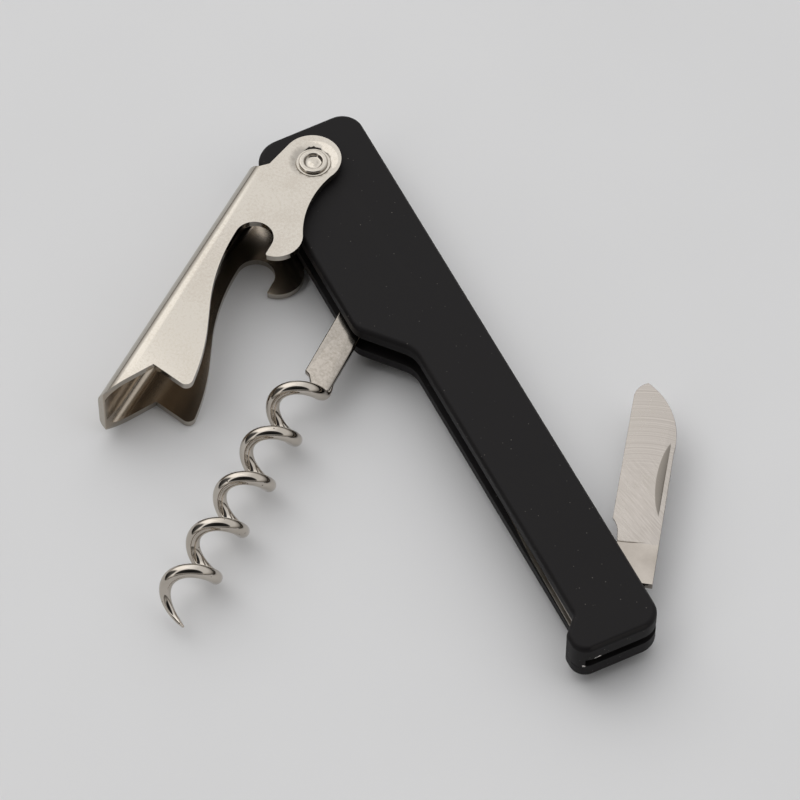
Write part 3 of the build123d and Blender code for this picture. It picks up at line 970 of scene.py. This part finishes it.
# %% [markdown]
# ## The room
# Metal also needs something to mirror beside the light. A plain bright sky would leave the
# lever and the worm flat and white, so the room is a sky with four parts. Its wall is dark at
# the table and pale from about 25 degrees up. One whole side is a little dimmer. The corner
# where the viewer stands is dark, and so is a narrower doorway further round, and those two
# give the worm and the rivet's rolled rim their black lines. Low down the dark corner is
# lightened again, so that the tool is not black when it is seen from behind.

# %% Room
world = bpy.data.worlds.new("studio_sky")
world.use_nodes = True
sky_tree = world.node_tree
sky = sky_tree.nodes["Background"]
sky_strength = 1.47
corner_side = Vector((0.685, -0.334, 0.648))
door_side = Vector((-0.42, -0.86, 0.29))
shade_side = Vector((0.44, 0.9, 0.0))

# Stops on a side are cosines of the angle from it; stops on the height are sines of the rise.
corner_stops = [(0.0, grey(1.0)), (0.72, grey(1.0)), (0.79, grey(0.05)), (1.0, grey(0.01))]
door_stops = [(0.0, grey(1.0)), (0.84, grey(1.0)), (0.92, grey(0.1)), (1.0, grey(0.06))]
shade_stops = [(0.0, grey(1.0)), (0.08, grey(1.0)), (0.42, grey(0.66)), (1.0, grey(0.6))]
low_stops = [(0.0, grey(0.5)), (0.28, grey(0.5)), (0.42, grey(0.0))]
wall_tones = ((0.0, "#6a6866"), (0.1, "#8b8986"), (0.22, "#c6c4c1"), (0.42, "#f6f6f6"))
wall_stops = [(place, linear(tone)) for place, tone in wall_tones]

look = put(sky_tree, "TexCoord").outputs["Generated"]
rise_up = put(sky_tree, "SeparateXYZ", Vector=look).outputs["Z"]
masks = []
for towards, stops in (
    (corner_side, corner_stops),
    (door_side, door_stops),
    (shade_side, shade_stops),
):
    facing = put(sky_tree, "VectorMath", dot, in_0=look, in_1=towards).outputs["Value"]
    masks.append(put(sky_tree, "ValToRGB", stops=stops, Fac=facing).outputs["Color"])
corner, door, shade = masks
low_light = put(sky_tree, "ValToRGB", stops=low_stops, Fac=rise_up).outputs["Color"]
wall = put(sky_tree, "ValToRGB", stops=wall_stops, Fac=rise_up).outputs["Color"]

lighten = {"data_type": "RGBA", "blend_type": "LIGHTEN"}
multiply = {"data_type": "RGBA", "blend_type": "MULTIPLY"}
dim = put(sky_tree, "Mix", lighten, Factor=1.0, in_6=corner, in_7=low_light).outputs[2]
dark = put(sky_tree, "Mix", multiply, Factor=1.0, in_6=dim, in_7=door).outputs[2]
shaded = put(sky_tree, "Mix", multiply, Factor=1.0, in_6=wall, in_7=shade).outputs[2]
room = put(sky_tree, "Mix", multiply, Factor=1.0, in_6=dark, in_7=shaded).outputs[2]
feed(sky_tree, sky, Color=room, Strength=sky_strength)
bpy.context.scene.world = world
bpy.context.scene.view_settings.view_transform = "Standard"
print("room nodes:", len(sky_tree.nodes))

# %% [markdown]
# ## Camera
# A long lens from high on the right keeps the tool's lines nearly parallel. Its place and aim
# are given in millimetres from the middle of the tool's footprint.

# %% Camera
camera_place = Vector((410.3, -194.4, 660.2)) * mm
camera_aim = Vector((-5.40, 7.85, 0.0)) * mm
lens = bpy.data.cameras.new("studio_camera")
lens.lens = 217.7
lens.sensor_width = 36.0
lens.clip_start = 0.01
camera = bpy.data.objects.new("studio_camera", lens)
camera.location = camera_place
camera.rotation_euler = (camera_aim - camera_place).to_track_quat("-Z", "Y").to_euler()
bpy.context.scene.collection.objects.link(camera)
bpy.context.scene.camera = camera
